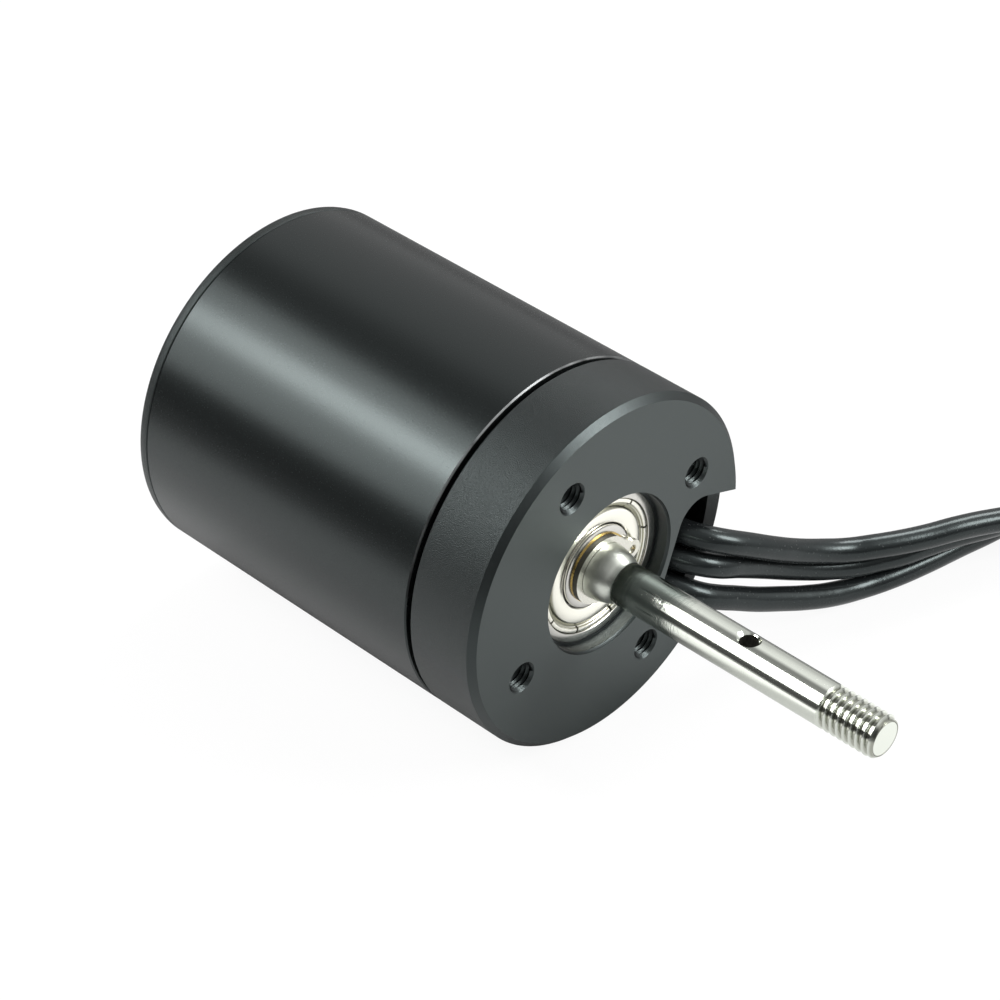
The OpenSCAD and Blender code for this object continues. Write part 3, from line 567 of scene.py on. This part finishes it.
# Painted shade and old grease darken the dished step and the lip to olive.
step_grease_and_shade = between(8.15, 8.45, pressed_r) * (1.0 - between(8.86, 8.98, pressed_r))
lip_grease_and_shade = between(9.62, 9.7, pressed_r)
pressed.tint(0.85 * (step_grease_and_shade + lip_grease_and_shade), (0.2, 0.2, 0.13))
pressed.feed("Roughness", 0.18 + 0.12 * pressed.grain(0.0008, 3.0))
pressed.bump(pressed.grain(0.0006, 3.0), 0.000008)
outer = turned("bearing_outer_ring", [
    (-9.2, 9.77), (-9.2, 10.7), (-8.9, 11), (-2.38, 11), (-2.25, 10.96), (-2.2, 10.86), (-2.25, 9.88),
    (-2.33, 9.8), (-3.1, 9.77), (-3.1, 8.97), (-8.3, 8.97), (-8.3, 9.77), (-9.2, 9.77)], 144)
coat(outer, ground, bored_and_painted_shade)
# Inside the outer ring, behind the shield, the steel takes the black bored finish as painted shade.
for face in outer.data.polygons:
    painted_shade_behind_shield = -0.0085 < face.center.x < -0.003
    if painted_shade_behind_shield and math.hypot(face.center.y, face.center.z) < 0.0098:
        face.material_index = 1
finished(outer, ground, "stator", "bearing_steel", "front_outer_ring")
inner = turned("bearing_inner_ring", [
    (-9.2, 4.31), (-9.2, 5.73), (-8.9, 6.03), (-2.45, 6.03), (-2.28, 5.95), (-2.2, 5.78), (-2.2, 4.4),
    (-2.3, 4.2), (-2.5, 4.01), (-8.9, 4.01), (-9.2, 4.31)], 144)
finished(inner, ground, "rotor", "bearing_steel", "front_inner_ring")
shield = turned("bearing_shield", [
    (-2.7, 6.23), (-2.62, 6.23), (-2.52, 6.33), (-2.4, 6.75), (-2.35, 7.2), (-2.35, 8.12), (-2.42, 8.32),
    (-2.62, 8.56), (-2.74, 8.68), (-2.76, 8.9), (-2.66, 9.02), (-2.45, 9.08), (-2.36, 9.2), (-2.34, 9.45),
    (-2.38, 9.66), (-2.5, 9.75), (-3.09, 9.75), (-3.09, 8.3), (-2.7, 8), (-2.7, 6.23)], 144)
notch_half, first_notch, notches = 0.19, 8.0, 9
cut_round(shield, slab("notch", (-4.0, 8.9, -notch_half), (-1.5, 10.2, notch_half)),
          [first_notch + 360.0 / notches * number for number in range(notches)])
finished(shield, pressed, "stator", "shield_steel", "front_shield", angle=24.0)


# Shim and retaining ring: a thin brass washer on the inner ring, and over it a stamped spring ring
# in the shaft's groove, wide opposite its gap, with two eyes for the pliers.
brass = surface("shim_brass", (0.6, 0.43, 0.14), Metallic=1.0)
brass.feed("Roughness", 0.2 + 0.15 * brass.grain(0.0004, 2.0))
shim = turned("brass_shim", [(-2.2, 4.01), (-2.2, 5.02), (-2.0, 5.02), (-2.0, 4.01), (-2.2, 4.01)], 96)
finished(shim, brass, "rotor", "shim_brass", "front_shim")
spring = surface("spring_steel", (0.74, 0.73, 0.66), Metallic=1.0)
spring.feed("Roughness", 0.18 + 0.16 * spring.grain(0.0005, 3.0))
spring.bump(spring.grain(0.0004, 3.0), 0.00001)
ring_back, ring_front, ring_radius, ring_turn = -2.0, -1.2, 4.9, -21.0
eye_radius, eye_reach, eye_turns, arm_start, arm_flare = 1.4, 5.56, (-24.0, 24.0), 3.2, 2.4
ring = turned("retaining_ring_spring", [(ring_back, ring_radius), (ring_front, ring_radius)], 96, capped=True)
placed(ring, (0.0, -0.15, 0.0))
eye = turned("eye", [(ring_back, eye_radius), (ring_front, eye_radius)], 48, capped=True)
placed(eye, (0.0, eye_reach, 0.0))
arm = slab("arm", (ring_back, arm_start, -eye_radius), (ring_front, eye_reach, eye_radius))
for vertex in arm.data.vertices:
    if 1000 * vertex.co.y < arm_start + 0.1:
        vertex.co.z *= arm_flare
cut(eye, arm, "UNION")
hole_radius, seat_radius, mouth_half = 0.65, 3.81, 1.8
eye_hole = turned("eye_hole", [(-3.0, hole_radius), (0.0, hole_radius)], 32, capped=True)
for eye, eye_hole, turn in zip(repeated(eye, ["eye"] * 2), repeated(eye_hole, ["eye_hole"] * 2), eye_turns):
    cut(ring, placed(eye, turn=(turn, 0.0, 0.0)), "UNION")
    hole_place = (0.0, eye_reach * math.cos(math.radians(turn)), eye_reach * math.sin(math.radians(turn)))
    cut(ring, placed(eye_hole, hole_place))
cut(ring, turned("groove_seat", [(-3.0, seat_radius), (0.0, seat_radius)], 96, capped=True))
mouth = slab("mouth", (-3.0, 0.0, -mouth_half), (0.0, 9.0, mouth_half))
for vertex in mouth.data.vertices:
    if vertex.co.y < 0.001:
        vertex.co.z = 0.0
cut(ring, mouth)
placed(ring, turn=(ring_turn, 0.0, 0.0))
coat(ring, spring, blackened_and_painted_shade)
# The punched edges, except those on the side of the eyes, take the blackened steel as painted shade.
for face in ring.data.polygons:
    on_shaded_punched_edge = abs(face.normal.x) < 0.5
    if on_shaded_punched_edge and face.center.y < 0.0025:
        face.material_index = 1
finished(ring, spring, "rotor", "spring_steel", "retaining_ring", edge=0.04)


# Shaft: turned and ground steel. The 8 mm journal ends in a turned taper with a hollow line, which
# runs out into the ground 6 mm output end. That is cross drilled for a pin and threaded M6 at its tip.
steel = surface("shaft_ground_steel", (0.74, 0.77, 0.7), Metallic=1.0)
ground_lines = steel.grain(0.00009, 2.0, (1.0, 60.0, 60.0)) ** 2.0
steel.bump(ground_lines, 0.000007)
only_turned = 1.0 - between(0.0026, 0.003, steel.along("X"))
steel.feed("Roughness", 0.07 + 0.06 * steel.grain(0.0015, 3.0) + 0.04 * ground_lines + 0.22 * only_turned)
steel_r = steel.off_shaft()
# Painted shade: the roots of the shaft's thread are darkened olive.
in_thread = between(0.0368, 0.037, steel.along("X"))
thread_root_shade = in_thread * (1.0 - between(2.6, 2.9, steel_r)) * between(2.2, 2.4, steel_r)
steel.tint(0.6 * thread_root_shade, (0.2, 0.2, 0.15))
shaft = turned("output_shaft", [
    (-60.6, 3.5), (-60.1, 4), (-2.05, 4), (-2.05, 3.8), (-1.15, 3.8), (-1.15, 3.98), (-0.7, 3.96),
    (-0.1, 3.88), (0.7, 3.7), (1.6, 3.44), (1.9, 3.28), (2.2, 3.16), (2.5, 3.07), (2.8, 3), (3, 3),
    (36.7, 3), (36.9, 2.8), (37.1, 2.5), (44.9, 2.5), (45.3, 2.35)], 128, capped=True)
pin_x, pin_r = 23.4, 1.25
pin_drill = turned("pin_drill", [(-5.0, 3.9), (-2.55, pin_r), (2.55, pin_r), (5.0, 3.9)], 48, capped=True)
cut(shaft, placed(pin_drill, (pin_x, 0.0, 0.0), (0.0, 90.0, 0.0)))
shaft_thread = helix("shaft_thread", start=36.4, radius=2.62, height=0.62, pitch=1.0, turns=10, steps=64)
thread_reach = turned("thread_reach", [
    (36.8, 2.3), (36.8, 3), (36.9, 3), (44.8, 3), (45.3, 2.5), (45.3, 2.3)], 96, capped=True)
cut(shaft_thread, thread_reach, "INTERSECT")
cut(shaft, shaft_thread, "UNION")
coat(shaft, steel, blackened_and_painted_shade)
# The inside of the pin hole takes the blackened steel as painted shade.
for face in shaft.data.polygons:
    off_pin_line = 1000 * math.hypot(face.center.x - pin_x / 1000, face.center.y)
    inside_shaft = abs(face.center.z) < 0.0026
    if off_pin_line < pin_r + 0.01 and inside_shaft:
        face.material_index = 1
finished(shaft, steel, "rotor", "shaft_steel", "shaft", angle=28.0)


# Inside the can: the stator's plates and windings on their tube, the magnets, and the bearings'
# inner parts. Little of it shows, so these CAD solids stay, each with its finish.
machined = surface("machined_aluminium", (0.78, 0.78, 0.79), Metallic=1.0)
machined.feed("Roughness", 0.24 + 0.16 * machined.grain(0.0001, 2.0, (1.0, 20.0, 20.0)))
carried(machined, "bearing_tube")
plates = surface("stator_plates", (0.3, 0.31, 0.33), Metallic=0.9)
plates.feed("Roughness", 0.38 + 0.2 * plates.grain(0.001))
plates.bump(plates.grain(0.00035, 0.0, (1.0, 900.0, 900.0)), 0.00008)
carried(plates, "stator_core")
moulding = surface("green_insulator", (0.02, 0.16, 0.08))
moulding.feed("Roughness", 0.44 + 0.16 * moulding.grain(0.0008))
carried(moulding, "front_insulator", "rear_insulator")
copper = surface("enamelled_copper", (0.6, 0.2, 0.07), Metallic=0.85, Coat_Weight=0.4)
copper.feed("Roughness", 0.26 + 0.14 * copper.grain(0.0006))
copper.bump(copper.grain(0.0007, 1.0, (9.0, 1.0, 1.0)), 0.0002)
carried(copper, "phase_splices", *[f"coil_{number}" for number in range(1, 13)])
nickel = surface("nickel_plate", (0.62, 0.61, 0.58), Metallic=1.0)
nickel.feed("Roughness", 0.24 + 0.16 * nickel.grain(0.0009))
carried(nickel, *[f"magnet_{number}" for number in range(1, 15)])
carried(ground, "rear_outer_ring", "rear_inner_ring")
carried(pressed, "front_inner_shield", "rear_shields", "front_cage", "rear_cage")
polished = surface("bearing_balls", (0.75, 0.75, 0.75), Metallic=1.0)
polished.feed("Roughness", 0.04 + 0.06 * polished.grain(0.0005))
carried(polished, "front_balls", "rear_balls")
